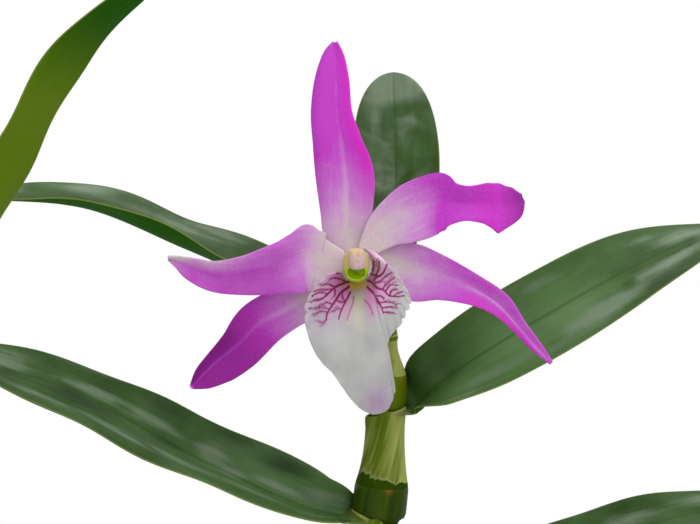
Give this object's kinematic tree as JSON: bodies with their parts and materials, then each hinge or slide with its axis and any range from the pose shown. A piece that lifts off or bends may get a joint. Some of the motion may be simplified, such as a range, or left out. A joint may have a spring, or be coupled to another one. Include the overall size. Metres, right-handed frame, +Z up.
{
  "type": "potted dendrobium orchid",
  "caption": "Potted orchid: jointed canes with sheathed strap leaves and one open purple flower with a veined white lip, standing in bark in a plain clay pot.",
  "frame": {"origin": "middle of the pot's flat foot, on the surface that it stands on", "axes": "+Z up along the plant; -Y is the front, where the flower faces; +X to the viewer's right"},
  "size_m": [0.2499, 0.2098, 0.3504],
  "materials": {
    "clay": "matte unglazed",
    "bark": "rough",
    "root": "matte",
    "cane": "satin",
    "leaf": "satin",
    "pedicel": "satin",
    "sepal": "satin",
    "petal": "satin",
    "lip": "satin",
    "column": "satin",
    "anther_cap": "satin"
  },
  "bodies": {
    "root": {"clay_pot": "clay", "bark_fill": "bark", "rhizome_roots": "root", "cane_lead": "cane", "cane_left": "cane", "cane_rear": "cane", "pedicel": "pedicel", "dorsal_sepal": "sepal", "lateral_sepal_left": "sepal", "lateral_sepal_right": "sepal", "petal_left": "petal", "petal_right": "petal", "lip": "lip", "column": "column", "anther_cap": "anther_cap", "leaf_lead_5": "leaf", "leaf_lead_6": "leaf", "leaf_lead_7": "leaf", "leaf_lead_8": "leaf", "leaf_lead_9": "leaf", "leaf_lead_10": "leaf", "leaf_lead_11": "leaf", "leaf_left_6": "leaf", "leaf_left_7": "leaf", "leaf_left_9": "leaf", "leaf_left_10": "leaf", "leaf_rear_4": "leaf", "leaf_rear_5": "leaf", "leaf_rear_6": "leaf", "leaf_rear_7": "leaf"}
  },
  "joints": []
}
